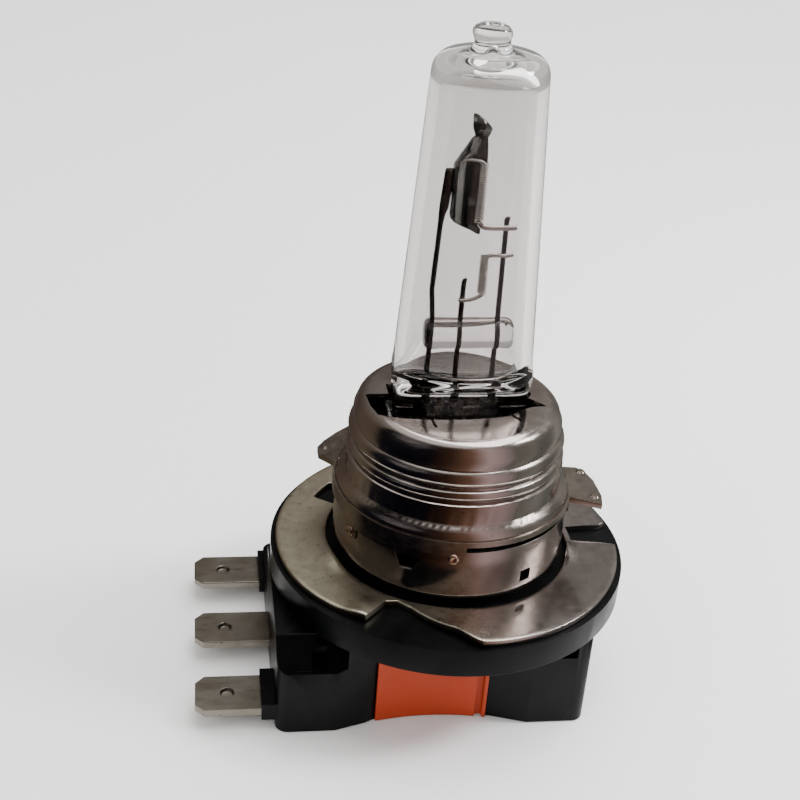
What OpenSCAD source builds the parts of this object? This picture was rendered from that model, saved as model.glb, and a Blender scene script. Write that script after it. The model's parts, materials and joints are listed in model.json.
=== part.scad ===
// Twin-filament headlight bulb: a quartz burner in a stepped metal cup, on a flanged
// plastic base with three side blades.
// Millimetres. +Z runs along the lamp axis to the tip of the glass, z = 0 is the top
// face of the flange, and the connector blades point towards -X.

/* [Flange and base] */
// Radius of the flange plate
flange_r = 17.2; // [16.8:0.1:17.5]
// Thickness of the flange plate
flange_t = 0.6; // [0.5:0.1:0.8]
// Radius of the hole in the flange plate
flange_hole_r = 12.1; // [11.9:0.1:12.3]
// Radius of the plastic disc under the flange
disc_r = 17.7; // [17.6:0.1:18.2]
// Thickness of the plastic disc
disc_t = 3.3; // [3:0.1:3.6]
// Height of the connector block under the disc
block_h = 9.4; // [9.2:0.1:10]

/* [Blades] */
// Width of a blade
blade_w = 4.8; // [4.6:0.1:5]
// Thickness of a blade
blade_t = 0.8; // [0.7:0.05:0.9]
// Distance from the block face to a blade's tip
blade_out = 7.6; // [7:0.1:9]
// Distance between blade centres
blade_pitch = 10; // [9.6:0.1:10.4]

/* [Metal shell] */
// Radius of the base sleeve
sleeve_r = 11.5; // [11.4:0.05:11.6]
// Thickness of the sheet metal
sheet_t = 0.4; // [0.3:0.05:0.5]
// Height of the cup's top plate above the flange
cup_top = 16; // [15.8:0.1:16.4]
// Radius of the cup's straight wall
cup_r = 10.6; // [10.5:0.05:10.8]
// Outer radius of the right lug
lug_r = 15; // [14.5:0.1:15.5]
// Outer radius of the left lug
rear_lug_r = 14.4; // [14:0.1:15]

/* [Glass] */
// Radius of the glass where it meets the pinch
glass_r0 = 6.73; // [6.6:0.05:6.9]
// Radius of the glass under the shoulder
glass_r1 = 5.1; // [4.9:0.05:5.3]
// Height of the shoulder above the flange
shoulder_z = 47.2; // [46:0.1:48]
// Height of the glass tip above the flange
tip_z = 51.4; // [51:0.1:52]
// Thickness of the glass wall
wall_t = 1; // [0.9:0.1:1.1]
// Width of the pinch
pinch_w = 13; // [12.8:0.1:13.2]
// Thickness of the pinch
pinch_t = 3.4; // [3.2:0.1:3.6]

/* [Filaments] */
// Radius of the lead wires inside the glass
lead_r = 0.27; // [0.22:0.01:0.3]
// Radius of both filament coils
coil_r = 0.55; // [0.45:0.05:0.6]
// Radius of the filament wire
coil_wire_r = 0.11; // [0.09:0.01:0.13]
// Turns of the main-beam filament
main_turns = 9; // [6:1:12]
// Turns of the daylight filament
day_turns = 11; // [8:1:14]

/* [Hidden] */
$fn = 96;
eps = 0.02;

// Radius of the front left edge of the flange, which is drawn in towards the notch
drawn_r = 12.8;
drawn_arc = [200, 240];

// Levels of the base, from the flange down
disc_top = -flange_t;
disc_bottom = disc_top - disc_t;
base_bottom = disc_bottom - block_h;
blade_top = base_bottom + 2.3;

// Plan of the connector block: its ends, its waist and the carrier in the waist
block_left = -17.7;
block_right = 12.6;
block_half = 13.2;
waist_half = 11.8;
waist_left = -8;
waist_right = 2.9;
carrier_plate_t = 1;
carrier_leg_t = 2.6;
rib_left = 1.8;
rib_right = 2.5;
block_corner_r = 1.2;
shoulder_w = 2.7;
shoulder_h = 2.5;
seat_r = 10.6;

// Metal shell: heights of the sleeve, collar, skirt and slot, and the radii over them
sleeve_top = 5.7;
collar_low = 5.5;
collar_top = 6.95;
skirt_low = 4.7;
skirt_end_low = 3.6;
slot_top = 6.4;
slot_arc = [267, 337];
lug_low = slot_top - 0.1;
lug_t = 0.6;
cup_low = 6.5;
collar_r = 11.75;
skirt_r = 11.7;
rim_r = 11.5;

// Places of the leads across the pinch, and of the blade tails under them
lead_x = [-3.4, -0.6, 3];
foil_w = 2;
foil_t = 0.1;
foil_z = [9.6, 16.6];
outer_lead_r = 0.4;
lead_weld_z = 15.4;
pinch_bottom = 8;
neck_z = 17.2;
round_z = 21;
tail_end_x = [-6.8, -2.4, -6.8];
tail_y = [-4.4, 0, 4.4];
crimp_z = blade_top + 0.9;

// Bridge and filaments inside the glass
bridge_z = 22.7;
bridge_r = 1.5;
main_x = 1.2;
main_z = [26.6, 30.4];
day_x = 0.45;
day_z = [33.7, 38.6];
shield_r = 2.85;
shield_t = 0.2;
shield_z = [32.5, 41.2];
shield_arc = [75, 195];
main_lead_top = 28.2;
common_lead_top = 34.2;

// Points along an arc
function arc(r, a0, a1, centre = [0, 0], steps = 12) =
    [for (i = [0:steps]) let (a = a0 + (a1 - a0) * i / steps) centre + r * [cos(a), sin(a)]];

// Radius of the tapered glass at a height
function glass_r(z) = glass_r0 + (glass_r1 - glass_r0) * (z - neck_z) / (shoulder_z - neck_z);

// Pie-shaped sector with its point on the axis
module sector(r, a0, a1) {
    polygon(concat([[0, 0]], arc(r, a0, a1, steps = 16)));
}

// Flat ring between two radii, kept between two angles
module ring_sector(r0, r1, a0, a1) {
    intersection() {
        difference() {
            circle(r1);
            circle(r0);
        }
        sector(2 * r1, a0, a1);
    }
}

// Round rod from one point to another
module rod(a, b, r) {
    d = b - a;
    translate(a)
        rotate([0, acos(d[2] / norm(d)), atan2(d[1], d[0])])
            cylinder(h = norm(d), r = r, $fn = 24);
}

// Bent wire through a list of points, with a ball slightly larger than the wire at each bend
module wire(path, r) {
    for (i = [0:len(path) - 2]) rod(path[i], path[i + 1], r);
    for (i = [1:1:len(path) - 2]) translate(path[i]) sphere(r = r * 1.04, $fn = 24);
}

// Corner points of one ring of a swept wire; the path is nowhere vertical
function sweep_ring(path, i, r, sides) =
    let (
        a = path[max(i - 1, 0)],
        b = path[min(i + 1, len(path) - 1)],
        t = (b - a) / norm(b - a),
        n = cross(t, [0, 0, 1]) / norm(cross(t, [0, 0, 1])),
        m = cross(n, t)
    )
    [for (k = [0:sides - 1]) path[i] + r * (cos(360 * k / sides) * n + sin(360 * k / sides) * m)];

// Wire swept along a path as one closed mesh
module swept_wire(path, r, sides = 6) {
    n = len(path);
    points = [for (i = [0:n - 1]) each sweep_ring(path, i, r, sides)];
    walls = [for (i = [0:n - 2]) for (k = [0:sides - 1]) let (j = (k + 1) % sides)
        each [[i * sides + k, (i + 1) * sides + j, i * sides + j],
            [i * sides + k, (i + 1) * sides + k, (i + 1) * sides + j]]];
    first = [for (k = [0:sides - 1]) k];
    last = [for (k = [sides - 1:-1:0]) (n - 1) * sides + k];
    polyhedron(points, concat([first, last], walls));
}

// Helix around a vertical axis at x, from the front (-Y) back to the front; dir is 1 or -1
function helix(x, z, turns, dir, steps = 8) =
    [for (i = [0:turns * steps]) let (a = -90 + dir * 360 * i / steps)
        [x + coil_r * cos(a), coil_r * sin(a), z[0] + (z[1] - z[0]) * i / (turns * steps)]];

// Lead wires inside the glass, as point lists from the foil weld upwards
shield_lead_path = [[lead_x[0], 0, lead_weld_z], [-3.3, 0, 20.5], [-3.2, 0, 24.4], [-3.5, 0, 27.1],
    [-3.2, 0, 33.5], [-2.93, 0, 38.7]];
main_lead_path = [[lead_x[1], 0, lead_weld_z], [lead_x[1], 0, main_lead_top]];
common_lead_path = [[lead_x[2], 0, lead_weld_z], [2.85, 0, common_lead_top]];

module inner_leads() {
    wire(shield_lead_path, lead_r);
    wire(main_lead_path, lead_r);
    wire(common_lead_path, lead_r);
}

// Outer lead: from the bottom of a foil out of the pinch, then sideways to its blade's tail
module outer_lead(i) {
    y = foil_front - outer_lead_r;
    wire([[lead_x[i], y, foil_z[0] + 1.4], [lead_x[i], y, 5], [tail_end_x[i] + 0.9, tail_y[i], 0.5],
        [tail_end_x[i] + 0.9, tail_y[i], crimp_z - 0.3]], outer_lead_r);
}

// The foils lie just behind the lead wires
foil_front = lead_r;

module seal_foil(i) {
    translate([lead_x[i] - foil_w / 2, foil_front, foil_z[0]])
        cube([foil_w, foil_t, foil_z[1] - foil_z[0]]);
}

// Room for a foil in the glass, which also takes in the wires that lie against it
module foil_pocket(i) {
    forward = 0.1;
    translate([lead_x[i] - foil_w / 2 - eps, foil_front - forward, foil_z[0] - eps])
        cube([foil_w + 2 * eps, foil_t + forward + eps, foil_z[1] - foil_z[0] + 2 * eps]);
}

// Outer form of the glass: tapered tube, shoulder, exhaust tip, squashed neck and flat pinch
module glass_form() {
    shoulder = 1.8;
    rotate_extrude()
        polygon(concat(
            [[0, round_z - 0.3], [glass_r(round_z - 0.3), round_z - 0.3]],
            arc(shoulder, 0, 80, [glass_r1 - shoulder, shoulder_z - 0.1], 8),
            [[2.2, 49.05], [1.5, 49.3], [1.3, 49.6], [1.45, 50]],
            arc(1.3, 0, 90, [0.3, tip_z - 1.3], 6),
            [[0, tip_z]]));
    hull() {
        translate([0, 0, round_z - 0.2]) cylinder(h = 0.1, r = glass_r(round_z) - eps, $fn = 36);
        translate([-pinch_w / 2, -pinch_t / 2, neck_z - 0.5]) cube([pinch_w, pinch_t, 0.5]);
    }
    translate([-pinch_w / 2, -pinch_t / 2, pinch_bottom])
        cube([pinch_w, pinch_t, neck_z - pinch_bottom - 0.2]);
}

// Gas space inside the glass
module glass_cavity() {
    r0 = glass_r(round_z) - wall_t;
    r1 = glass_r1 - wall_t;
    rotate_extrude()
        polygon(concat(
            [[0, round_z - 0.1], [r0, round_z - 0.1]],
            arc(1.2, 0, 90, [r1 - 1.2, shoulder_z - 0.9], 6),
            [[0, shoulder_z + 0.3]]));
    hull() {
        translate([0, 0, round_z]) cylinder(h = 0.1, r = r0 - eps, $fn = 36);
        translate([0, 0, neck_z + 1.2]) scale([1, 0.22, 1]) cylinder(h = 0.1, r = pinch_w / 2 - 0.8, $fn = 36);
    }
}

module glass_envelope() {
    color([0.86, 0.88, 0.9, 0.4]) difference() {
        glass_form();
        glass_cavity();
        inner_leads();
        for (i = [0:2]) {
            foil_pocket(i);
            outer_lead(i);
        }
    }
}

module quartz_bridge() {
    color([0.85, 0.87, 0.9, 0.6]) difference() {
        rod([-3.95, 0, bridge_z], [4.65, 0, bridge_z], bridge_r);
        inner_leads();
    }
}

module main_beam_filament() {
    coil = helix(main_x, main_z, main_turns, 1);
    y = -lead_r - coil_wire_r;
    color([0.45, 0.45, 0.47])
        swept_wire(concat([[lead_x[1] - 0.4, y, main_z[0] - 0.3], [0, y, main_z[0] - 0.25]], coil,
            [[2.2, -coil_r, main_z[1] + 0.15], [3.6, y, main_z[1] + 0.2]]), coil_wire_r);
}

module daylight_filament() {
    coil = helix(day_x, day_z, day_turns, -1);
    y = -lead_r - coil_wire_r;
    color([0.45, 0.45, 0.47])
        swept_wire(concat([[3.7, y, day_z[0] - 0.45], [1.6, -coil_r, day_z[0] - 0.4]], coil,
            [[-0.6, -coil_r, day_z[1] + 0.2], [-1.6, -0.2, day_z[1] + 0.3],
                [day_x - shield_r + 0.05, 0, day_z[1] + 0.3]]), coil_wire_r);
}

// Spoon-shaped shield half round the daylight filament, with a rounded top, a curved lip
// below and a small tab above
module glare_shield() {
    bend = 1.6;
    top_centre = [shield_r - bend, shield_z[1] - bend];
    low_centre = [shield_r - bend, shield_z[0] + bend];
    color([0.3, 0.3, 0.32]) difference() {
        union() {
            translate([day_x, 0, 0]) rotate([0, 0, shield_arc[0]])
                rotate_extrude(angle = shield_arc[1] - shield_arc[0])
                    polygon(concat(
                        arc(bend + shield_t, -90, 0, low_centre, 8),
                        arc(bend + shield_t, 0, 90, top_centre, 8),
                        arc(bend, 90, 0, top_centre, 8),
                        arc(bend, 0, -90, low_centre, 8)));
            translate([-0.9, 0.75, shield_z[1] - 0.2]) rotate([0, -12, 20])
                cube([1.5, shield_t, 2.6]);
        }
        wire(shield_lead_path, lead_r);
    }
}

module shield_lead() {
    color([0.35, 0.35, 0.37]) wire(shield_lead_path, lead_r);
}

module main_beam_lead() {
    color([0.35, 0.35, 0.37]) wire(main_lead_path, lead_r);
}

module common_lead() {
    color([0.35, 0.35, 0.37]) wire(common_lead_path, lead_r);
}

module seal_foil_left() {
    color([0.25, 0.26, 0.3]) seal_foil(0);
}

module seal_foil_middle() {
    color([0.25, 0.26, 0.3]) seal_foil(1);
}

module seal_foil_right() {
    color([0.25, 0.26, 0.3]) seal_foil(2);
}

module outer_lead_left() {
    color([0.6, 0.6, 0.58]) outer_lead(0);
}

module outer_lead_middle() {
    color([0.6, 0.6, 0.58]) outer_lead(1);
}

module outer_lead_right() {
    color([0.6, 0.6, 0.58]) outer_lead(2);
}

// Section of the cup's outer face: rim, flare, straight wall, two rolled beads and the top band
cup_face = concat(
    [[rim_r - 0.1, cup_low], [rim_r, cup_low + 0.1], [rim_r, 7.1], [11.4, 7.35], [11.15, 7.65],
        [cup_r + 0.25, 7.9], [cup_r, 8.1], [cup_r, 10.1], [10.2, 10.25], [10.2, 10.4]],
    arc(0.62, -50, 50, [9.93, 10.95], 6),
    [[10.1, 11.5], [10.1, 11.62]],
    arc(1, -50, 50, [9.47, 12.5], 6),
    [[9.95, 13.38], [9.95, 13.5], [10.1, 13.6], [10.05, 14.4]],
    arc(1.3, 10, 90, [8.55, cup_top - 1.3], 6));

// Outline of the opening in the cup's top plate
pinch_opening = [[-9, 0.3], [-8.8, -1.9], [-8.3, -3.6], [-7.5, -4.2], [-5.8, -4.6], [-3.6, -4.9], [0.3, -4.9],
    [3.8, -4.4], [5.7, -3], [6.6, -2.6], [8, -2.4], [7.3, -1.5], [6.6, -0.8], [7.1, 0], [6.9, 1.4],
    [6.7, 2.3], [-6.8, 2.3], [-6.8, 0.3]];

// Slits beside the tongue of the top plate: start, direction, length and width
slits = [[[-3.6, -4.7], -84, 1.6, 0.3], [[4.1, -4.2], -58, 1.4, 0.35]];

module burner_cup() {
    tongue = [7.2, 3.5];
    tongue_at = [-3.3, -5.15, cup_top - sheet_t - 0.05];
    tongue_tilt = -22;
    inner_shift = [sheet_t + 0.1, sheet_t - 0.05];
    color([0.74, 0.73, 0.7]) difference() {
        rotate_extrude() polygon(concat([[0, cup_top - inner_shift[1]], [0, cup_top]],
            [for (i = [len(cup_face) - 1:-1:0]) cup_face[i]],
            [for (i = [1:len(cup_face) - 1])
                [cup_face[i][0] - inner_shift[0], max(cup_face[i][1] - inner_shift[1], cup_low)]]));
        translate([0, 0, cup_top - 2]) linear_extrude(4) polygon(pinch_opening);
        for (c = slits)
            translate([c[0][0], c[0][1], cup_top - 2]) rotate([0, 0, c[1]]) cube([c[2], c[3], 4]);
    }
    // Tongue bent down to the front of the pinch
    color([0.74, 0.73, 0.7]) translate(tongue_at) rotate([tongue_tilt, 0, 0])
        cube([tongue[0], tongue[1], sheet_t]);
}

// Band that grips the pinch, with two ears that reach the cup wall
module pinch_clip() {
    z = [10, 14.4];
    gap = 0.03;
    ear_r = cup_r - sheet_t - 0.35;
    color([0.7, 0.7, 0.68]) difference() {
        union() {
            translate([-pinch_w / 2 - sheet_t, -pinch_t / 2 - sheet_t, z[0]])
                cube([pinch_w + 2 * sheet_t, pinch_t + 2 * sheet_t, z[1] - z[0]]);
            intersection() {
                translate([-ear_r, -1.5, z[0]]) cube([2 * ear_r, 3, sheet_t]);
                translate([0, 0, z[0] - 1]) cylinder(h = 3, r = 9.55);
            }
        }
        translate([-pinch_w / 2 - gap, -pinch_t / 2 - gap, z[0] - 1])
            cube([pinch_w + 2 * gap, pinch_t + 2 * gap, 8]);
    }
}

// Lug plate through outline points given as angle and radius
module lug(outline) {
    translate([0, 0, lug_low]) linear_extrude(lug_t) difference() {
        polygon(concat([[0, 0]], [for (p = outline) p[1] * [cos(p[0]), sin(p[0])]]));
        circle(sleeve_r + 0.1);
    }
}

// Pressed dot on a lug
module lug_dot(r, a) {
    translate([r * cos(a), r * sin(a), lug_low + lug_t - 0.05])
        cylinder(h = 0.2, r1 = 0.5, r2 = 0.3, $fn = 24);
}

module lug_collar() {
    inner = sleeve_r + eps;
    skirt_lap = 0.3;
    color([0.7, 0.69, 0.66]) difference() {
        union() {
            translate([0, 0, collar_low]) linear_extrude(collar_top - collar_low) difference() {
                circle(collar_r);
                circle(inner);
            }
            // Skirt that hangs over the sleeve at the front, and its longer left end
            translate([0, 0, skirt_low]) linear_extrude(collar_low - skirt_low + skirt_lap)
                ring_sector(inner, skirt_r, 209, 266);
            translate([0, 0, skirt_end_low]) linear_extrude(collar_low - skirt_end_low + skirt_lap - 0.1)
                ring_sector(inner, skirt_r - 0.03, 202, 210);
            lug([[-21, collar_r], [-22, lug_r - 0.1], [-16, lug_r - 0.25], [-5, lug_r - 0.8],
                [2, lug_r - 1.3], [5.5, lug_r - 1.9], [7, collar_r]]);
            lug([[112, collar_r], [114, rear_lug_r - 1], [126, rear_lug_r - 0.6], [140, rear_lug_r - 0.6],
                [149, rear_lug_r - 0.4], [155, rear_lug_r - 0.3], [160, rear_lug_r - 0.8], [165, collar_r]]);
            lug_dot(lug_r - 0.9, -17);
            lug_dot(lug_r - 1.7, 2);
            lug_dot(rear_lug_r - 1, 153.5);
        }
        // Open slot under the cup's rim
        translate([0, 0, skirt_low - 0.2]) linear_extrude(slot_top - skirt_low + 0.2)
            sector(2 * rim_r, slot_arc[0], slot_arc[1]);
    }
}

// Resistance welds on the skirt: angle and height
weld_places = [[261.4, 5.1], [206, 4.1]];

module weld_spots() {
    color([0.8, 0.76, 0.7]) for (p = weld_places)
        rotate([0, 0, p[0]]) translate([skirt_r, 0, p[1]]) rotate([0, 90, 0])
            cylinder(h = 0.2, r1 = 0.5, r2 = 0.3, $fn = 24);
}

module base_sleeve() {
    t = sheet_t;
    foot_z = disc_bottom + 0.4;
    face = concat([[seat_r, foot_z], [seat_r, -0.6]], arc(0.9, -60, 0, [sleeve_r - 0.9, 1], 6),
        [[sleeve_r, sleeve_top]]);
    color([0.72, 0.71, 0.69]) difference() {
        rotate_extrude() polygon(concat(face, [[sleeve_r - t, sleeve_top], [sleeve_r - t, 1],
            [seat_r - t, -0.4], [seat_r - t, foot_z]]));
        // Window under the skirt, wider at its top
        rotate([0, 0, 240]) translate([9, 0, 0]) rotate([90, 0, 90]) linear_extrude(4)
            polygon([[-1.3, 4.65], [-0.6, 3.1], [0.55, 3.1], [1.3, 4.65]]);
        // Square hole beside it
        rotate([0, 0, 299.5]) translate([9, -0.6, 1.45]) cube([4, 1.2, 1.2]);
    }
}

// Notch in the front edge of the flange, and the small tab left in its right notch
front_notch = [[-7.7, -10.6], [-8.8, -12.3], [-9.7, -13.1], [-12, -20], [1, -20], [0, -17.1], [-1.6, -15.4],
    [-5.3, -11.9], [-6.4, -10.8]];
notch_tab = [[14.6, 3], [17.6, 3.6], [17.5, 2.1], [16.8, 1.1], [14.9, 1.5]];

module flange_ring() {
    color([0.68, 0.66, 0.6]) difference() {
        translate([0, 0, -flange_t]) cylinder(h = flange_t, r = flange_r);
        translate([0, 0, -2]) cylinder(h = 4, r = flange_hole_r);
        translate([0, 0, -2]) linear_extrude(4) difference() {
            sector(22, -8, 8);
            circle(12.7);
            polygon(notch_tab);
        }
        translate([0, 0, -2]) linear_extrude(4) ring_sector(11, 14.8, 138, 150);
        // Front left edge
        translate([0, 0, -2]) linear_extrude(4) difference() {
            sector(25, drawn_arc[0], drawn_arc[1]);
            translate((flange_r - drawn_r) * [cos(drawn_arc[0]), sin(drawn_arc[0])]) circle(drawn_r);
        }
        translate([0, 0, -2]) linear_extrude(4) polygon(front_notch);
    }
}

// Plan of the connector block, front half from left to right
function block_front() = concat(
    arc(block_corner_r, 180, 270, [block_left + block_corner_r, block_corner_r - block_half], 6),
    [[-12, -block_half], [-9, -12.3], [waist_left, -waist_half],
        [waist_right, -waist_half], [6.8, -13]],
    arc(block_corner_r, -90, 0, [block_right - block_corner_r, -11.8], 6));

module block_plan() {
    front = block_front();
    polygon(concat(front, [for (i = [len(front) - 1:-1:0]) [front[i][0], -front[i][1]]]));
}

// Outline of a blade: chamfered tip, straight sides and a narrower tail bent towards the middle
module blade_plan(i) {
    y0 = (i - 1) * blade_pitch;
    tip = block_left - blade_out;
    h = blade_w / 2;
    c = 0.9;
    polygon([[tip, y0 - h + c], [tip + c, y0 - h], [-11.6, y0 - h], [-11.6, y0 + h], [tip + c, y0 + h],
        [tip, y0 + h - c]]);
    translate([-12, min(y0, tail_y[i]) - 0.9]) square([2.2, abs(y0 - tail_y[i]) + 1.8]);
    translate([-12, tail_y[i] - 0.9]) square([tail_end_x[i] + 12, 1.8]);
}

module blade(i) {
    y0 = (i - 1) * blade_pitch;
    translate([0, 0, blade_top - blade_t]) difference() {
        linear_extrude(blade_t) blade_plan(i);
        translate([-22.2, y0, blade_t - 0.35]) cylinder(h = 1, r1 = 0.55, r2 = 0.95, $fn = 32);
    }
}

module blade_front() {
    color([0.7, 0.68, 0.62]) blade(0);
}

module blade_middle() {
    color([0.7, 0.68, 0.62]) blade(1);
}

module blade_rear() {
    color([0.7, 0.68, 0.62]) blade(2);
}

// Connector block with its rear left corner cut back under the disc and a sloping front shoulder
module block_body() {
    corner_top = blade_top + 1.2;
    difference() {
        translate([0, 0, base_bottom]) linear_extrude(block_h + 0.2) block_plan();
        translate([0, 0, corner_top]) linear_extrude(block_h) difference() {
            translate([-20, 4]) square([11, 12]);
            circle(disc_r - 0.5);
        }
        translate([-20, 0, 0]) rotate([90, 0, 90]) linear_extrude(9)
            polygon([[-block_half - shoulder_w, disc_bottom - 2 * shoulder_h],
                [shoulder_w - block_half, disc_bottom], [shoulder_w - block_half, disc_bottom + 1],
                [-block_half - shoulder_w, disc_bottom + 1]]);
    }
}

// Plastic disc and connector block, hollow inside for the leads
module base_housing() {
    slack = 0.03;
    root_out = [1.3, 0.6];
    slot_low = blade_top - blade_t - slack;
    slot_h = blade_t + 2 * slack;
    leg_w = waist_right - waist_left;
    color([0.09, 0.09, 0.1]) difference() {
        union() {
            rotate_extrude() polygon([[0, disc_bottom], [disc_r - 0.6, disc_bottom],
                [disc_r, disc_bottom + 0.5], [disc_r, disc_top], [0, disc_top]]);
            block_body();
            // Collars at the roots of the front and rear blades
            for (k = [0, 1]) {
                y = (2 * k - 1) * blade_pitch - blade_w / 2 - 0.25;
                translate([block_left - root_out[k], y, blade_top - 1.2]) cube([2, blade_w + 0.5, 1.8]);
            }
        }
        // Seat of the base sleeve and the room for the leads under it
        translate([0, 0, disc_bottom + 0.35]) cylinder(h = 10, r = seat_r + slack);
        translate([-10.5, -9, base_bottom + 1]) cube([17, 18, block_h]);
        // Slots of the blades, open to the inside
        for (i = [0:2]) {
            y0 = (i - 1) * blade_pitch;
            translate([-21, y0 - blade_w / 2 - slack, slot_low]) cube([9.4, blade_w + 2 * slack, slot_h]);
            translate([-12 - slack, min(y0, tail_y[i]) - 0.9 - slack, slot_low])
                cube([3, abs(y0 - tail_y[i]) + 1.8 + 2 * slack, slot_h]);
        }
        // Waist pockets and bottom recess of the terminal carrier
        for (y = [-waist_half - 2, waist_half - carrier_leg_t])
            translate([waist_left, y, base_bottom - 1]) cube([leg_w, carrier_leg_t + 2, block_h + 1]);
        translate([waist_left, -waist_half - 2, base_bottom - 1])
            cube([leg_w, 2 * waist_half + 4, carrier_plate_t + 1]);
        // Latch window in the front shoulder with a shallow recess beside it, and two at the right
        translate([-14.4, -block_half - 0.1, disc_bottom - 2.5]) cube([1.5, 2, 2.3]);
        translate([-16.2, -block_half - 0.25, disc_bottom - 2.5]) cube([2.4, 0.5, 1.6]);
        for (s = [-1, 1])
            translate([9.4, s * (block_half - 0.2) - 0.6, disc_bottom - 1.7]) cube([1.6, 1.2, 1.3]);
    }
}

// Orange carrier: a U of two legs and a floor plate that closes the block from below
module terminal_carrier() {
    gap = 0.03;
    proud = 0.3;
    hollow_r = 25;
    left = waist_left + gap;
    wide = waist_right - waist_left - 2 * gap;
    leg_h = block_h - gap;
    color([0.85, 0.31, 0.1]) difference() {
        union() {
            translate([left, -waist_half - proud, base_bottom])
                cube([wide, 2 * (waist_half + proud), carrier_plate_t - gap]);
            for (y = [-waist_half - proud, waist_half - carrier_leg_t + gap])
                translate([left, y, base_bottom]) cube([wide, carrier_leg_t + proud - gap, leg_h]);
        }
        // Faces slightly hollow from side to side, with a groove beside the right edge
        for (s = [-1, 1]) {
            translate([(waist_left + waist_right) / 2, s * (waist_half - 0.25 + hollow_r), base_bottom - 1])
                cylinder(h = 12, r = hollow_r);
            translate([rib_left, s * (waist_half + proud) - 0.5, base_bottom - 1])
                cube([rib_right - rib_left, 1, 12]);
        }
    }
}

// Barrels that join the outer leads to the blade tails
module lead_crimps() {
    color([0.62, 0.58, 0.5]) for (i = [0:2])
        translate([tail_end_x[i] - 0.9, tail_y[i], 0]) difference() {
            translate([0, -0.9, blade_top]) cube([2.7, 1.8, 1.5]);
            translate([1.8, 0, blade_top + 0.3]) cylinder(h = 3, r = outer_lead_r + 0.03, $fn = 24);
        }
}

glass_envelope();
quartz_bridge();
main_beam_filament();
daylight_filament();
glare_shield();
shield_lead();
main_beam_lead();
common_lead();
seal_foil_left();
seal_foil_middle();
seal_foil_right();
outer_lead_left();
outer_lead_middle();
outer_lead_right();
burner_cup();
pinch_clip();
lug_collar();
weld_spots();
base_sleeve();
flange_ring();
base_housing();
terminal_carrier();
blade_front();
blade_middle();
blade_rear();
lead_crimps();
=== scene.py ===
"""Looks of the headlight bulb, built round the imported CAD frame. Millimetres are scaled to metres by MM."""

import json
import math

import bmesh
import bpy
from mathutils import Matrix, Vector


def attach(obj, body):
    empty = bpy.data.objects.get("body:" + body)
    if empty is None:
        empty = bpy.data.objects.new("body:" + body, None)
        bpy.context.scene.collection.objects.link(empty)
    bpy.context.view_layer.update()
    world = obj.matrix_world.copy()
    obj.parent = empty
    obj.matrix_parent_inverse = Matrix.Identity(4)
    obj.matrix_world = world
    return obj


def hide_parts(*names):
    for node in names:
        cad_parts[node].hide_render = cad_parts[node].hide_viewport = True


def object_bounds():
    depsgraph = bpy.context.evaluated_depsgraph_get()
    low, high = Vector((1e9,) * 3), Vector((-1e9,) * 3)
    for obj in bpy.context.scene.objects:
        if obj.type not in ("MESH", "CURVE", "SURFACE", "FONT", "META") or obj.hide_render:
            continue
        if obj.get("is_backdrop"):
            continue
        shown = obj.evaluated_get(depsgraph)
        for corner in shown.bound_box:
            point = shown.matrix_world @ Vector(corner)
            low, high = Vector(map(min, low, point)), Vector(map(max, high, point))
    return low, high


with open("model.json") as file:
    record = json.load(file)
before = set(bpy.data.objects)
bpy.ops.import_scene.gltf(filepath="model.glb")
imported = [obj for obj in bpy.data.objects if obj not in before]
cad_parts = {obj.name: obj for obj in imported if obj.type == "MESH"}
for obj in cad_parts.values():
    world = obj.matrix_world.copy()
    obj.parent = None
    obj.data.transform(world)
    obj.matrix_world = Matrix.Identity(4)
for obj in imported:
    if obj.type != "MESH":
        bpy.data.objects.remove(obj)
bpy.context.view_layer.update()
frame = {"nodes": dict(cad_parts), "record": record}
NODES = frame["nodes"]
MM = 0.001
TAU = 2 * math.pi

# ---------------------------------------------------------------- camera


def set_camera():
    """Close view from the front and above, slightly rolled, as a hand-held camera gives."""
    azimuth, elevation, roll = math.radians(-7), math.radians(26.11), math.radians(2.87)
    back = Vector((math.sin(azimuth) * math.cos(elevation), -math.cos(azimuth) * math.cos(elevation),
                   math.sin(elevation)))
    right = Vector((math.cos(azimuth), math.sin(azimuth), 0))
    up = back.cross(right)
    x_axis = right * math.cos(roll) + up * math.sin(roll)
    y_axis = up * math.cos(roll) - right * math.sin(roll)
    data = bpy.data.cameras.new("camera")
    data.lens, data.sensor_width = 57.83, 36
    data.shift_x, data.shift_y = 0.08, -0.06
    data.clip_start, data.clip_end = 0.005, 20
    camera = bpy.data.objects.new("camera", data)
    bpy.context.scene.collection.objects.link(camera)
    place = Matrix((x_axis, y_axis, back)).transposed().to_4x4()
    place.translation = Vector((-25.2, -106.9, 73.4)) * MM
    camera.matrix_world = place
    bpy.context.scene.camera = camera


# ---------------------------------------------------------------- mesh helpers


def new_object(name, verts, faces, smooth=True):
    mesh = bpy.data.meshes.new(name)
    mesh.from_pydata([tuple(v) for v in verts], [], faces)
    mesh.validate()
    mesh.update()
    obj = bpy.data.objects.new(name, mesh)
    bpy.context.scene.collection.objects.link(obj)
    if smooth:
        for p in mesh.polygons:
            p.use_smooth = True
    return obj


def loft(name, rings, closed=False):
    """Skin through rings that all have the same number of points."""
    n = len(rings[0])
    verts = [p for ring in rings for p in ring]
    faces = []
    last = len(rings) if closed else len(rings) - 1
    for i in range(last):
        j = (i + 1) % len(rings)
        for k in range(n):
            m = (k + 1) % n
            faces.append((i * n + k, i * n + m, j * n + m, j * n + k))
    if not closed:
        faces.append(tuple(reversed(range(n))))
        faces.append(tuple((len(rings) - 1) * n + k for k in range(n)))
    return new_object(name, verts, faces)


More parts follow.
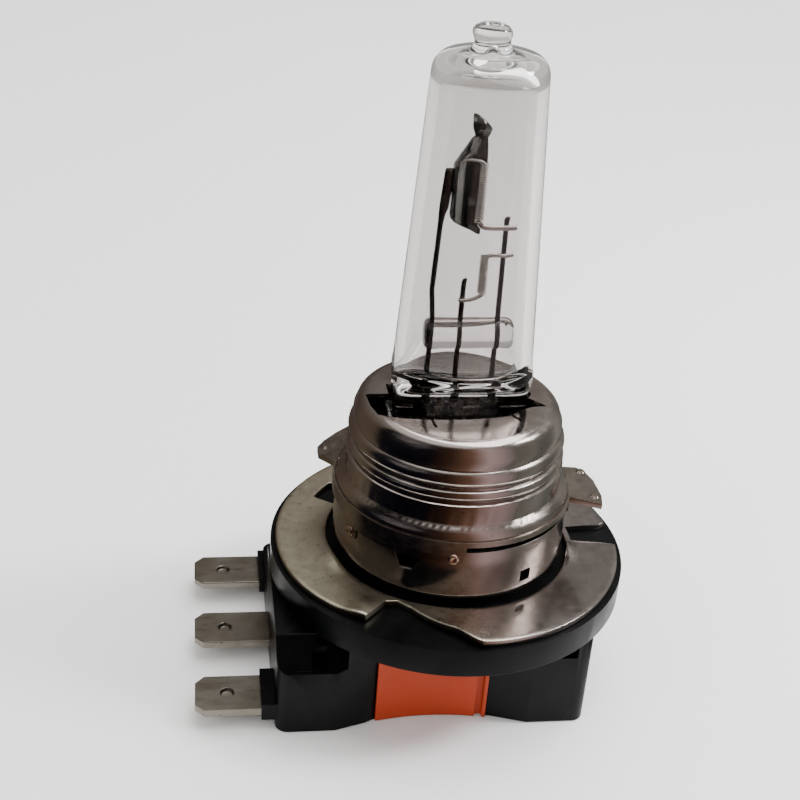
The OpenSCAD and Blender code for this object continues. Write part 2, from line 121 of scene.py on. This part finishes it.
def tube(name, path, radius, sides):
    """Round wire along a list of points in millimetres; radius may be a list."""
    pts = [Vector(p) * MM for p in path]
    rings = []
    normal = None
    for i, p in enumerate(pts):
        tangent = (pts[min(i + 1, len(pts) - 1)] - pts[max(i - 1, 0)]).normalized()
        if normal is None:
            normal = tangent.orthogonal().normalized()
        normal = (normal - tangent * normal.dot(tangent)).normalized()
        side = tangent.cross(normal)
        r = (radius[i] if isinstance(radius, list) else radius) * MM
        rings.append([p + r * (math.cos(TAU * k / sides) * normal + math.sin(TAU * k / sides) * side)
                      for k in range(sides)])
    return loft(name, rings)


def smooth_path(points):
    """Catmull-Rom curve through given points."""
    steps = 8
    pts = [Vector(points[0])] + [Vector(p) for p in points] + [Vector(points[-1])]
    out = []
    for i in range(1, len(pts) - 2):
        a, b, c, d = pts[i - 1:i + 3]
        for s in range(steps):
            t = s / steps
            out.append(0.5 * ((2 * b) + (c - a) * t + (2 * a - 5 * b + 4 * c - d) * t * t
                              + (3 * b - a - 3 * c + d) * t ** 3))
    out.append(pts[-2])
    return out


def smoothstep(a, b, x):
    t = min(max((x - a) / (b - a), 0), 1)
    return t * t * (3 - 2 * t)


def superellipse(a, b, power, z, steps=96, centre=(0, 0)):
    """Closed ring: a circle at power 2, a rounded rectangle at higher powers. Sizes in millimetres."""
    ring = []
    for k in range(steps):
        t = TAU * k / steps
        c, s = math.cos(t), math.sin(t)
        x = a * math.copysign(abs(c) ** (2 / power), c)
        y = b * math.copysign(abs(s) ** (2 / power), s)
        ring.append(Vector((centre[0] + x, centre[1] + y, z)) * MM)
    return ring


def refined(node, width):
    """A copy of a CAD node with its flat faces merged and its edges rounded, which stands for the node."""
    angle = math.radians(30)
    mesh = NODES[node].data.copy()
    obj = bpy.data.objects.new(node + "_fine", mesh)
    bpy.context.scene.collection.objects.link(obj)
    bm = bmesh.new()
    bm.from_mesh(mesh)
    bmesh.ops.remove_doubles(bm, verts=bm.verts, dist=0.002 * MM)
    bmesh.ops.dissolve_limit(bm, angle_limit=math.radians(0.8), verts=bm.verts, edges=bm.edges)
    bm.to_mesh(mesh)
    bm.free()
    mesh.shade_smooth()
    mesh.set_sharp_from_angle(angle=angle)
    mod = obj.modifiers.new("soft_edges", "BEVEL")
    mod.width, mod.segments = width * MM, 2
    mod.limit_method, mod.angle_limit = "ANGLE", angle
    mod.harden_normals = True
    mod.use_clamp_overlap = True
    return obj


# ---------------------------------------------------------------- materials


class Nodes:
    """A few short words for building a node tree."""

    def __init__(self, name):
        self.mat = bpy.data.materials.new(name)
        self.mat.use_nodes = True
        self.tree = self.mat.node_tree
        self.tree.nodes.clear()
        self.out = self.tree.nodes.new("ShaderNodeOutputMaterial")
        self.bsdf = self.tree.nodes.new("ShaderNodeBsdfPrincipled")
        self.link(self.bsdf.outputs[0], self.out.inputs[0])
        self.coords = self.tree.nodes.new("ShaderNodeTexCoord").outputs["Object"]

    def link(self, a, b):
        self.tree.links.new(a, b)

    def set(self, **values):
        for key, value in values.items():
            self.bsdf.inputs[key.replace("_", " ")].default_value = value

    def noise(self, scale, detail=4, roughness=0.55, stretch=(1, 1, 1)):
        mapping = self.tree.nodes.new("ShaderNodeMapping")
        mapping.inputs["Scale"].default_value = stretch
        self.link(self.coords, mapping.inputs["Vector"])
        node = self.tree.nodes.new("ShaderNodeTexNoise")
        node.inputs["Scale"].default_value = scale
        node.inputs["Detail"].default_value = detail
        node.inputs["Roughness"].default_value = roughness
        self.link(mapping.outputs[0], node.inputs["Vector"])
        return node.outputs["Fac"]

    def ramp(self, fac, stops):
        node = self.tree.nodes.new("ShaderNodeValToRGB")
        elements = node.color_ramp.elements
        while len(elements) < len(stops):
            elements.new(0.5)
        for element, (pos, colour) in zip(elements, stops):
            element.position = pos
            element.color = (*colour, 1) if len(colour) == 3 else (colour[0],) * 3 + (1,)
        self.link(fac, node.inputs[0])
        return node.outputs[0]

    def mix(self, fac, a, b):
        node = self.tree.nodes.new("ShaderNodeMix")
        node.data_type = "RGBA"
        self.link(fac, node.inputs[0])
        for socket, value in ((node.inputs[6], a), (node.inputs[7], b)):
            if isinstance(value, tuple):
                socket.default_value = (*value, 1)
            else:
                self.link(value, socket)
        return node.outputs[2]

    def bump(self, height, strength, distance):
        node = self.tree.nodes.new("ShaderNodeBump")
        node.inputs["Strength"].default_value = strength
        node.inputs["Distance"].default_value = distance * MM
        self.link(height, node.inputs["Height"])
        self.link(node.outputs[0], self.bsdf.inputs["Normal"])


def plated_metal(name, colour, stain, rough, grain=(1, 1, 1), wear=0.5, bump=0.15):
    """Nickel or tin plate: cloudy tint, specks, fine scratches and uneven gloss."""
    m = Nodes(name)
    m.set(Metallic=1.0)
    clouds = m.ramp(m.noise(170, 5, 0.6), [(0.35, (0,)), (0.72, (1,))])
    specks = m.ramp(m.noise(2600, 3, 0.7), [(0.66, (0,)), (0.72, (1,))])
    tint = m.mix(clouds, colour, stain)
    dark = tuple(c * 0.35 for c in stain)
    m.link(m.mix(specks, tint, dark), m.bsdf.inputs["Base Color"])
    scratches = m.noise(900, 6, 0.75, grain)
    m.link(m.ramp(scratches, [(0.3, (rough * (1 - wear),)), (0.75, (rough * (1 + wear),))]),
           m.bsdf.inputs["Roughness"])
    m.bump(scratches, bump, 0.02)
    return m.mat


def pressed_nickel():
    """Satin flange plate, dull on one side and glossy on the other, with a painted reflection tint: yellowish
    on the left, pinkish on the right.
    """
    m = Nodes("pressed_nickel")
    m.set(Metallic=1.0)
    # Side mask from left to right: it sets the plate's polish and also the painted reflection tint.
    place = m.tree.nodes.new("ShaderNodeSeparateXYZ")
    m.link(m.coords, place.inputs[0])
    side = m.tree.nodes.new("ShaderNodeMapRange")
    side.inputs["From Min"].default_value, side.inputs["From Max"].default_value = -4 * MM, 6 * MM
    m.link(place.outputs["X"], side.inputs["Value"])
    polish_and_painted_tint_side = side.outputs[0]
    clouds = m.ramp(m.noise(190, 6, 0.62), [(0.35, (0,)), (0.7, (1,))])
    # Painted reflection tint: yellowish colour on the left and pinkish on the right, standing in for what
    # each side reflects.
    matt_side_painted_tint = m.mix(clouds, (0.52, 0.475, 0.36), (0.43, 0.39, 0.3))
    polished_side_painted_tint = m.mix(clouds, (0.5, 0.445, 0.43), (0.36, 0.32, 0.3))
    specks = m.ramp(m.noise(2400, 3, 0.7), [(0.64, (0,)), (0.7, (1,))])
    m.link(m.mix(specks, m.mix(polish_and_painted_tint_side, matt_side_painted_tint, polished_side_painted_tint), (0.16, 0.14, 0.1)), m.bsdf.inputs["Base Color"])
    grain = m.noise(1100, 6, 0.75)
    dull = m.ramp(grain, [(0.3, (0.26,)), (0.75, (0.42,))])
    shiny = m.ramp(grain, [(0.3, (0.12,)), (0.75, (0.24,))])
    m.link(m.mix(polish_and_painted_tint_side, dull, shiny), m.bsdf.inputs["Roughness"])
    m.bump(grain, 0.18, 0.02)
    return m.mat


def moulded_plastic(name, colour, pale, rough, gloss):
    """Satin moulded plastic with a fine spark-eroded grain and rubbed, dusty patches."""
    m = Nodes(name)
    patches = m.ramp(m.noise(220, 6, 0.65), [(0.45, (0,)), (0.8, (1,))])
    m.link(m.mix(patches, colour, pale), m.bsdf.inputs["Base Color"])
    m.link(m.ramp(m.noise(400, 4), [(0.3, (rough * 0.8,)), (0.8, (rough * 1.25,))]),
           m.bsdf.inputs["Roughness"])
    m.bump(m.noise(5200, 3), 0.25, 0.02)
    m.set(Specular_IOR_Level=gloss)
    return m.mat


def clear_glass(name, tint):
    """Drawn quartz: clear, with faint waves in its surface."""
    m = Nodes(name)
    m.set(Transmission_Weight=1.0, IOR=1.46, Roughness=0.0)
    m.bsdf.inputs["Base Color"].default_value = (*tint, 1)
    m.bump(m.noise(260, 2, 0.5, (1, 1, 0.35)), 0.12, 0.12)
    return m.mat


def make_materials():
    return {
        "glass": clear_glass("clear_quartz", (0.7, 0.68, 0.67)),
        "glass_rod": clear_glass("quartz_rod", (0.95, 0.94, 0.95)),
        "filament": plated_metal("tungsten", (0.8, 0.78, 0.76), (0.5, 0.48, 0.47), 0.18),
        "molybdenum": plated_metal("molybdenum", (0.13, 0.13, 0.12), (0.07, 0.07, 0.065), 0.1,
                                   wear=0.3, bump=0.02),
        "foil": plated_metal("sealing_foil", (0.09, 0.1, 0.13), (0.04, 0.04, 0.06), 0.3),
        "lead_metal": plated_metal("lead_wire", (0.6, 0.57, 0.53), (0.4, 0.36, 0.3), 0.3),
        "cup_metal": plated_metal("bright_nickel", (0.56, 0.505, 0.48), (0.4, 0.33, 0.3), 0.16,
                                  grain=(1, 1, 9), bump=0.14),
        "collar_metal": plated_metal("collar_nickel", (0.43, 0.385, 0.34), (0.3, 0.25, 0.21), 0.2, wear=0.4),
        "clip_metal": plated_metal("spring_steel", (0.66, 0.65, 0.63), (0.45, 0.43, 0.4), 0.28),
        "weld_metal": plated_metal("weld_metal", (0.8, 0.6, 0.5), (0.5, 0.3, 0.22), 0.25),
        "flange_metal": pressed_nickel(),
        "blade_metal": plated_metal("tin_plate", (0.29, 0.27, 0.235), (0.17, 0.145, 0.11), 0.36,
                                    grain=(0.3, 2, 1), wear=0.3, bump=0.3),
        "black_plastic": moulded_plastic("black_plastic", (0.0012, 0.0013, 0.0015),
                                         (0.0045, 0.005, 0.0055), 0.34, 0.12),
        "orange_plastic": moulded_plastic("orange_plastic", (0.36, 0.03, 0.0025),
                                          (0.3, 0.034, 0.004), 0.5, 0.3),
    }


def give(obj, mat):
    obj.data.materials.clear()
    obj.data.materials.append(mat)


def piece(obj, node):
    """A Blender piece that stands for a CAD node and takes its material."""
    slot = SLOT_OF[node]
    give(obj, MATS[slot])
    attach(obj, "root")
    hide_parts(node)


# ---------------------------------------------------------------- glass


TUBE_LOW_R, TUBE_TOP_R = 6.73, 5.1
TUBE_LOW_Z, TUBE_LENGTH = 17.2, 30
GLASS_WALL = 1.0
PINCH_LOW, PINCH_TOP = 8.0, 16.6
PINCH_A, PINCH_B = 6.5, 1.7  # half sizes of the flat pinch
PINCH_POWER = 7
STRAIGHT_FROM = 22.5
SHOULDER_R = 1.8
TIP = [  # radius and height up the exhaust tip
    (2.6, 48.93), (2.15, 48.98), (1.85, 49.12), (1.6, 49.38), (1.45, 49.7), (1.5, 50.05), (1.62, 50.4),
    (1.6, 50.75), (1.38, 51.08), (0.95, 51.3), (0.4, 51.39)]
TIP_BORE = [(1.6, 47.85), (1.0, 48.0), (0.6, 48.35), (0.4, 48.9), (0.2, 49.5)]


def glass_radius(z):
    """Outer radius of the tapered tube, which narrows towards the top."""
    return TUBE_LOW_R + (TUBE_TOP_R - TUBE_LOW_R) * (z - TUBE_LOW_Z) / TUBE_LENGTH


def outer_glass():
    """Rings up the outside: flat pinch, change to round, tapered tube, shoulder and leaning tip."""
    rings = []
    for z in (PINCH_LOW, 8.15, 9, 10.5, 12, 13.5, 15, 16, PINCH_TOP):
        rounding = 0.25 if z == PINCH_LOW else 0
        rings.append(superellipse(PINCH_A - rounding, PINCH_B - rounding, PINCH_POWER, z))
    for i in range(1, 15):
        z = PINCH_TOP + 4.6 * i / 14
        s = smoothstep(PINCH_TOP, 20.6, z)
        b = PINCH_B + (glass_radius(z) - PINCH_B) * s ** 0.8
        a = PINCH_A + (glass_radius(z) - PINCH_A) * s
        rings.append(superellipse(a, b, PINCH_POWER - 5 * s ** 0.45, z))
    z = STRAIGHT_FROM
    while z < 46.5:
        rings.append(superellipse(glass_radius(z), glass_radius(z), 2, z))
        z += 2
    for i in range(0, 10):
        t = math.radians(88 * i / 9)
        r = 3.3 + SHOULDER_R * math.cos(t)
        rings.append(superellipse(r, r, 2, 47.1 + 1.85 * math.sin(t)))
    for r, z in TIP:
        lean = 0.25 * (z - 49) / 2.4
        rings.append(superellipse(r * 1.06, r * 0.94, 2, z, centre=(-lean, 0)))
    return rings


def inner_glass():
    """Rings up the gas space: rounded floor, tapered tube, dome and the bore of the tip."""
    rings = []
    for i in range(0, 13):
        z = 18.15 + 3.2 * i / 12
        s = smoothstep(17.6, 20.9, z)
        wall = glass_radius(z) - GLASS_WALL
        round_in = math.sqrt(max(1 - (1 - min(i / 3, 1)) ** 2, 0.0004))
        a = (5.95 + (wall - 5.95) * s) * (0.9 + 0.1 * round_in)
        b = (1.5 + (wall - 1.5) * s) * round_in
        rings.append(superellipse(a, b, 2.6 - 0.6 * s, z))
    z = STRAIGHT_FROM
    while z < 46:
        wall = glass_radius(z) - GLASS_WALL
        rings.append(superellipse(wall, wall, 2, z))
        z += 2
    for i in range(0, 9):
        t = math.radians(90 * i / 8)
        r = max(2.3 + SHOULDER_R * math.cos(t), 0.1)
        rings.append(superellipse(r, r, 2, 46.2 + 1.6 * math.sin(t)))
    for r, z in TIP_BORE:
        rings.append(superellipse(r, r, 2, z))
    return rings


def make_glass():
    """Quartz burner: an outer skin and its gas space as one piece."""
    shell = loft("glass_body", outer_glass())
    cavity = loft("glass_cavity", inner_glass())
    cavity.data.flip_normals()
    join(shell, cavity)
    piece(shell, "glass_envelope")


def join(keep, *others):
    bm = bmesh.new()
    bm.from_mesh(keep.data)
    for other in others:
        bm.from_mesh(other.data)
        bpy.data.objects.remove(other)
    bm.to_mesh(keep.data)
    bm.free()


# ---------------------------------------------------------------- filaments, leads and shield


def coil_points(x, z0, z1, turns, direction, radius):
    """Helix that starts at the front of the lamp."""
    steps = 20
    pts = []
    for i in range(turns * steps + 1):
        a = math.radians(-90) + direction * TAU * i / steps
        pts.append((x + radius * math.cos(a), radius * math.sin(a), z0 + (z1 - z0) * i / (turns * steps)))
    return pts


def make_filaments():
    """Two fine coils, each with thick legs crimped over the leads."""
    coil_r, wire, leg = 0.36, 0.085, 0.2
    y = -0.42
    coil = tube("main_coil", coil_points(1.15, 26.7, 30.5, 17, 1, coil_r), wire, 8)
    low = tube("main_leg_low", smooth_path([
        (-1.05, y, 26.25), (-0.5, y, 26.2), (0.2, y, 26.3), (0.85, -0.36, 26.55), (1.15, -0.34, 26.75)]),
        leg * 0.9, 12)
    high = tube("main_leg_high", smooth_path([
        (1.2, -0.34, 30.45), (1.6, -0.38, 30.62), (2.3, y, 30.66), (3.0, y, 30.6), (3.7, y, 30.72)]), leg, 12)
    join(coil, low, high)
    piece(coil, "main_beam_filament")
    coil = tube("daylight_coil", coil_points(0.25, 33.75, 39.2, 24, -1, coil_r), wire, 8)
    low = tube("daylight_leg_low", smooth_path([
        (0.25, -0.36, 33.8), (0.5, -0.4, 33.45), (1.2, y, 33.3), (2.4, y, 33.3), (3.72, y, 33.32)]),
        leg * 1.3, 12)
    high = tube("daylight_leg_high", smooth_path([
        (0.25, -0.36, 39.15), (-0.1, -0.3, 39.4), (-1.0, -0.1, 39.5), (-2.2, 0.1, 39.3)]), leg * 0.7, 10)
    join(coil, low, high)
    piece(coil, "daylight_filament")


LEAD_R = 0.25


def round_at(x, z):
    """Stop where a lead is round."""
    return (x, 0, z, LEAD_R, LEAD_R, 2)


def pressed_end(x):
    """Stops of the flat end that is welded to the foil in the pinch."""
    return [(x, 0, 15.4, 0.42, 0.1, 4), (x, 0, 17.6, 0.4, 0.14, 3)]


def lead(name, stops):
    """Wire of changing section. A stop is x, y, z, half width, half thickness and power."""
    rings = [superellipse(a, b, power, z, 20, (x, y)) for x, y, z, a, b, power in stops]
    return loft(name, rings)


def make_leads():
    """The long lead bends out and carries the shield; the other two hold the coils."""
    r = LEAD_R
    piece(lead("shield_wire", pressed_end(-3.4) + [
        round_at(-3.38, 18.4), round_at(-3.3, 20.5), round_at(-3.22, 22.5), round_at(-3.22, 24.4),
        round_at(-3.38, 26.2), round_at(-3.47, 27.1), round_at(-3.42, 28.2), round_at(-3.2, 33.5),
        (-3.13, 0, 34.4, 0.3, 0.2, 2.5), (-3.02, 0, 35, 0.42, 0.12, 4),
        (-2.75, 0, 38.4, 0.44, 0.11, 4), (-2.72, 0, 38.7, 0.4, 0.09, 4)]), "shield_lead")
    piece(lead("main_wire", pressed_end(-0.6) + [
        round_at(-0.6, 18.4), round_at(-0.62, 22), round_at(-0.58, 25.6),
        (-0.58, -0.02, 27.6, r * 0.95, r, 2), (-0.52, 0, 28.05, r * 0.9, r * 0.9, 2),
        (-0.45, 0, 28.2, r * 0.7, r * 0.6, 2)]), "main_beam_lead")
    piece(lead("common_wire", pressed_end(3.0) + [
        round_at(3.0, 18.4), round_at(2.98, 24), round_at(2.88, 31), round_at(2.86, 33.7),
        (2.9, 0, 34.0, r * 1.1, r * 0.9, 2), (2.98, 0, 34.2, r * 0.9, r * 0.6, 2)]), "common_lead")


def make_shield():
    """Spoon-shaped mirror half round the daylight coil: a straight wall, a creased roof and a curved lip."""
    rows = [  # radius, height, first and last angle in degrees
        (2.3, 31.7, 76, 82), (2.55, 31.95, 76, 96), (2.72, 32.35, 76, 116), (2.8, 32.9, 75.5, 136),
        (2.84, 33.6, 75, 154), (2.85, 34.4, 75, 170), (2.85, 35.3, 75, 184), (2.85, 36.3, 75, 193),
        (2.85, 37.4, 75, 196), (2.85, 38.85, 75, 196), (2.82, 38.98, 75, 196), (2.55, 39.45, 75, 194),
        (2.25, 39.95, 76, 190), (1.95, 40.45, 77, 184), (1.65, 40.95, 79, 174), (1.45, 41.3, 82, 162)]
    centre_x, steps = 0.45, 30
    verts = []
    for radius, z, first, last in rows:
        for i in range(steps + 1):
            a = math.radians(first + (last - first) * i / steps)
            verts.append(Vector((centre_x + radius * math.cos(a), radius * math.sin(a), z)) * MM)
    w = steps + 1
    faces = [(r * w + i, r * w + i + 1, (r + 1) * w + i + 1, (r + 1) * w + i)
             for r in range(len(rows) - 1) for i in range(steps)]
    tab = [(-0.5, 1.2, 41.2), (0.75, 1.35, 41.2), (1.05, 1.45, 41.9), (0.55, 1.4, 42.5), (-0.45, 1.35, 43.3),
           (-0.85, 1.3, 43.3), (-0.8, 1.25, 42.1)]
    base = len(verts)
    verts += [Vector(p) * MM for p in tab]
    faces.append(tuple(base + i for i in range(len(tab))))
    obj = new_object("mirror_shield", verts, faces)
    thick = obj.modifiers.new("sheet", "SOLIDIFY")
    thick.thickness, thick.offset = 0.14 * MM, 0
    obj.data.set_sharp_from_angle(angle=math.radians(28))
    piece(obj, "glare_shield")


def make_bridge():
    """Quartz rod with fire-polished ends that ties the leads together."""
    bridge_z = 22.7
    stops = [  # place along the rod and radius
        (-3.95, 0.7), (-3.9, 1.05), (-3.75, 1.3), (-3.5, 1.43), (-3.1, 1.5), (-1.5, 1.46), (0.2, 1.5),
        (2.2, 1.47), (3.8, 1.5), (4.2, 1.43), (4.45, 1.3), (4.6, 1.05), (4.65, 0.7)]
    path = [(x, 0, bridge_z) for x, _ in stops]
    piece(tube("bridge_rod", path, [r for _, r in stops], 40), "quartz_bridge")


# ---------------------------------------------------------------- flange


def between(stops, x):
    """Straight lines between (x, y) stops."""
    for (x0, y0), (x1, y1) in zip(stops, stops[1:]):
        if x0 <= x <= x1:
            return y0 + (y1 - y0) * (x - x0) / max(x1 - x0, 1e-6)
    return stops[-1][1]


def hump(x, centre, width):
    return math.exp(-((x - centre) / width) ** 2)


FLANGE_R, HOLE_R = 17.2, 12.1
DRAWN_FROM, NOTCH_FROM, NOTCH_TO = 200, 233.4, 351.8  # degrees round the front edge
OUTER_EDGE = [  # degrees and radius: right notch, then the full circle
    (-8.2, FLANGE_R), (-7.9, 16.9), (-7.7, 12.8), (3.6, 12.75), (3.9, 16.5), (5.2, 17.1), (8, FLANGE_R),
    (199.9, FLANGE_R)]
NOTCH_EDGE = [  # front notch and its sloping side
    (NOTCH_FROM, 16.3), (234.2, 14.9), (234.9, 13.2), (239.3, 12.6), (246, 13.05), (254, 14.1),
    (264.1, 15.5), (269.6, 16.9), (271.5, FLANGE_R), (NOTCH_TO, FLANGE_R)]
INNER_EDGE = [  # hole, with the cut-out at the back left
    (0, HOLE_R), (135.6, HOLE_R), (136.4, 14.5), (138, 14.75), (149.5, 14.75), (150.6, 14.3),
    (151.4, HOLE_R), (360, HOLE_R)]


def drawn_edge(a):
    """Radius of the front left edge, an arc of a smaller circle tangent to the flange's own."""
    offset, small = 4.4, 12.8
    t = math.radians(a - DRAWN_FROM)
    return offset * math.cos(t) + math.sqrt(small ** 2 - (offset * math.sin(t)) ** 2)


def outer_radius(a):
    """Radius of the plate's outer edge in one direction."""
    if DRAWN_FROM <= a < NOTCH_FROM:
        return drawn_edge(a)
    if NOTCH_FROM <= a <= NOTCH_TO:
        return between(NOTCH_EDGE, a)
    return between(OUTER_EDGE, a if a < NOTCH_TO else a - 360)


def flange_lift(a, r):
    """How far the pressed plate is bent up at a place: lips by the notches and a soft bump at the left."""
    lip = 0.75 * hump(a, 344, 6.5) * (1 - smoothstep(12.1, 13.5, r))
    flare = 0.35 * hump(a, 263, 9) * smoothstep(13, 16.5, r)
    bump = 0.3 * hump(a, 196, 11) * (1 - smoothstep(12.2, 13.6, r))
    left_lip = 0.25 * hump(a, 231, 5) * smoothstep(12.6, 15, r)
    return lip + flare + bump + left_lip + 0.04 * math.sin(math.radians(3 * a + 40))


def flange_section(r0, r1):
    """Closed outline across the sheet, from the hole to the outer edge, with its corners rounded."""
    under, top, edge, across = -0.6, 0.0, 0.13, 12
    cut = edge * 0.3
    section = [(r0 + edge, under), (r1 - edge, under), (r1 - cut, under + cut), (r1, under + edge),
               (r1, top - edge), (r1 - cut, top - cut)]
    section += [(r1 - edge + (r0 - r1 + 2 * edge) * i / across, top) for i in range(across + 1)]
    section += [(r0 + cut, top - cut), (r0, top - edge), (r0, under + edge), (r0 + cut, under + cut)]
    return section


def make_flange():
    """Pressed ring with rounded edges: one closed section for each angle, swept right round."""
    marks = [a % 360 for a, _ in OUTER_EDGE + NOTCH_EDGE + INNER_EDGE]
    angles = sorted(set([round(a, 2) for a in marks] + [1.25 * i for i in range(288)]))
    rings = []
    for a in angles:
        t = math.radians(a)
        rings.append([Vector((r * math.cos(t), r * math.sin(t), z + flange_lift(a, r))) * MM
                      for r, z in flange_section(between(INNER_EDGE, a), outer_radius(a))])
    obj = loft("flange_plate", rings, closed=True)
    obj.data.set_sharp_from_angle(angle=math.radians(50))
    piece(obj, "flange_ring")


# ---------------------------------------------------------------- base, blades and shell

EDGE_WIDTHS = {  # how far each CAD node's edges are rounded
    "burner_cup": 0.09, "pinch_clip": 0.08, "lug_collar": 0.09, "base_sleeve": 0.05, "base_housing": 0.16,
    "terminal_carrier": 0.14, "blade_front": 0.12, "blade_middle": 0.12, "blade_rear": 0.12,
    "lead_crimps": 0.12, "outer_lead_left": 0.04, "outer_lead_middle": 0.04, "outer_lead_right": 0.04}
SKIRT_R = 11.7
WELD_PLACES = [(261.4, 5.1), (206, 4.1)]  # degrees round the skirt and height


def make_refined():
    for node, width in EDGE_WIDTHS.items():
        piece(refined(node, width), node)


def make_welds():
    """Small molten buttons: a low dome with a raised rim and a pit in the middle."""
    profile = [(0.12, 0.12), (0.24, 0.17), (0.34, 0.19), (0.44, 0.15), (0.52, 0.05), (0.55, -0.03)]
    sides = 24
    buttons = []
    for angle, z in WELD_PLACES:
        turn = Matrix.Rotation(math.radians(angle), 4, "Z")
        place = turn @ Matrix.Translation(Vector((SKIRT_R, 0, z)) * MM)
        rings = [[place @ (Vector((h, r * math.cos(TAU * k / sides), r * math.sin(TAU * k / sides))) * MM)
                  for k in range(sides)] for r, h in reversed(profile)]
        buttons.append(loft("weld", rings))
    join(buttons[0], buttons[1])
    piece(buttons[0], "weld_spots")


# ---------------------------------------------------------------- stage and lights


FLOOR_SIZE, FLOOR_GAP = 6, 0.0001  # metres
CARD_R, CARD_GAP = 30, 0.5
SKY_TONE = (0.3, 0.29, 0.27)
RING_TONES = [  # direction in degrees and colour
    (0, (0.17, 0.175, 0.165)), (13, (0.34, 0.33, 0.3)), (33, (0.17, 0.17, 0.16)),
    (53, (0.26, 0.24, 0.22)), (75, (0.12, 0.1, 0.095)), (110, (0.1, 0.08, 0.075)),
    (140, (0.11, 0.085, 0.07)), (165, (0.17, 0.14, 0.1)), (178, (0.13, 0.11, 0.08)),
    (186, (0.012, 0.012, 0.016)), (215, (0.003, 0.003, 0.006)), (238, (0.006, 0.005, 0.008)),
    (256, (0.05, 0.025, 0.014)), (274, (0.2, 0.11, 0.07)), (290, (0.62, 0.48, 0.48)),
    (302, (0.45, 0.36, 0.37)), (315, (0.17, 0.17, 0.15)), (334, (0.26, 0.26, 0.24)),
    (347, (0.17, 0.18, 0.165)), (360, (0.17, 0.175, 0.165))]


def emitter(name):
    """Card that glows with its colour attribute."""
    m = Nodes(name)
    m.set(Roughness=1.0, Specular_IOR_Level=0.0, Emission_Strength=1.0)
    m.bsdf.inputs["Base Color"].default_value = (0, 0, 0, 1)
    tone = m.tree.nodes.new("ShaderNodeAttribute")
    tone.attribute_name = "tone"
    m.link(tone.outputs["Color"], m.bsdf.inputs["Emission Color"])
    return m.mat


def tone_at(angle):
    """Colour of the studio cards in one direction from the lamp."""
    for (a0, c0), (a1, c1) in zip(RING_TONES, RING_TONES[1:]):
        if a0 <= angle % 360 <= a1:
            return Vector(c0).lerp(Vector(c1), (angle % 360 - a0) / (a1 - a0))


def reflector_arc(name, first, last, height, fade_from, seen_in_glass):
    """Curved studio card on the floor, between two angles, that only shows in reflections."""
    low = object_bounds()[0][2] + CARD_GAP * MM
    steps, rows = int((last - first) / 2.5), 12
    verts, faces, colours = [], [], []
    for row in range(rows + 1):
        t = row / rows
        for k in range(steps + 1):
            a = first + (last - first) * k / steps
            colours.append((*tone_at(a).lerp(Vector(SKY_TONE), smoothstep(fade_from, 1, t)), 1))
            turn = math.radians(a)
            verts.append((CARD_R * math.cos(turn) * MM, CARD_R * math.sin(turn) * MM, low + height * t * MM))
    w = steps + 1
    faces = [(row * w + k, row * w + k + 1, (row + 1) * w + k + 1, (row + 1) * w + k)
             for row in range(rows) for k in range(steps)]
    obj = new_object(name, verts, faces)
    layer = obj.data.color_attributes.new("tone", "FLOAT_COLOR", "POINT")
    for item, colour in zip(layer.data, colours):
        item.color = colour
    give(obj, emitter(name))
    obj.visible_camera = obj.visible_shadow = obj.visible_diffuse = False
    obj.visible_transmission = seen_in_glass
    obj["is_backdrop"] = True


def set_stage():
    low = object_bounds()[0]
    half = FLOOR_SIZE / 2
    corners = [(-half, -half, 0), (half, -half, 0), (half, half, 0), (-half, half, 0)]
    floor = new_object("floor", corners, [(0, 1, 2, 3)], smooth=False)
    floor.location.z = low[2] - FLOOR_GAP
    m = Nodes("pale_floor")
    m.set(Roughness=1.0, Specular_IOR_Level=0.0)
    m.link(m.ramp(m.noise(6, 2), [(0.3, (0.9, 0.9, 0.9)), (0.7, (0.93, 0.93, 0.93))]),
           m.bsdf.inputs["Base Color"])
    give(floor, m.mat)
    floor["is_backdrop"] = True
    world = bpy.data.worlds.new("studio")
    bpy.context.scene.world = world
    world.use_nodes = True
    background = world.node_tree.nodes["Background"]
    background.inputs["Color"].default_value = (1.0, 0.98, 0.95, 1)
    background.inputs["Strength"].default_value = 0.97


def area_light(name, centre, size, power, aim=(0, 0, 10)):
    data = bpy.data.lights.new(name, "AREA")
    data.shape, data.size, data.energy = "DISK", size * MM, power
    light = bpy.data.objects.new(name, data)
    light.location = Vector(centre) * MM
    light.rotation_euler = (Vector(aim) * MM - light.location).to_track_quat("-Z", "Y").to_euler()
    bpy.context.scene.collection.objects.link(light)


def set_lights():
    """A wide soft light above, a small key, a weak fill and two cards for the metal to reflect."""
    card_height = 62
    area_light("top", (260, 180, 600), 900, 7.5, (0, 0, 0))
    area_light("key", (190, -20, 170), 60, 0.6)
    area_light("fill", (-210, -120, 150), 120, 0.12)
    reflector_arc("front_card", 182, 345, card_height, 0.75, True)
    reflector_arc("back_card", -15, 182, card_height, 0.42, False)


SLOT_OF = {row["node"]: row["material_slot"] for row in frame["record"]["subparts"]}
MATS = make_materials()
set_camera()
set_stage()
set_lights()
make_glass()
make_filaments()
make_leads()
make_shield()
make_bridge()
make_flange()
make_refined()
make_welds()
for name, obj in NODES.items():
    give(obj, MATS[SLOT_OF[name]])
